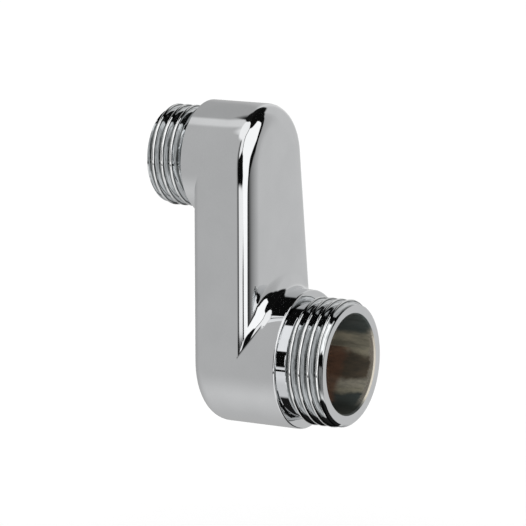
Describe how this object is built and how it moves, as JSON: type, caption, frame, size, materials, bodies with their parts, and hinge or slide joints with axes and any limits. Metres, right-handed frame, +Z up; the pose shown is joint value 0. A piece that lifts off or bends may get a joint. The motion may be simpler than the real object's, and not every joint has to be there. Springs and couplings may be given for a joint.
{
  "type": "eccentric fitting",
  "caption": "Offset plumbing connector with a smaller wall thread and a larger tap thread on parallel axes, joined by a flat rounded body with a waterway inside.",
  "frame": {"origin": "on the wall thread's axis, midway along the plain length of that thread", "axes": "+Y along the thread axes towards the wall, -Y towards the tap, +Z up with the tap thread one offset below the wall thread, +X to the right seen from the tap side"},
  "size_m": [0.0288, 0.0412, 0.0673],
  "materials": {
    "plated_brass": "polished chrome plating outside, raw brass in the waterway"
  },
  "bodies": {
    "root": {"eccentric_fitting": "plated_brass"}
  },
  "joints": []
}
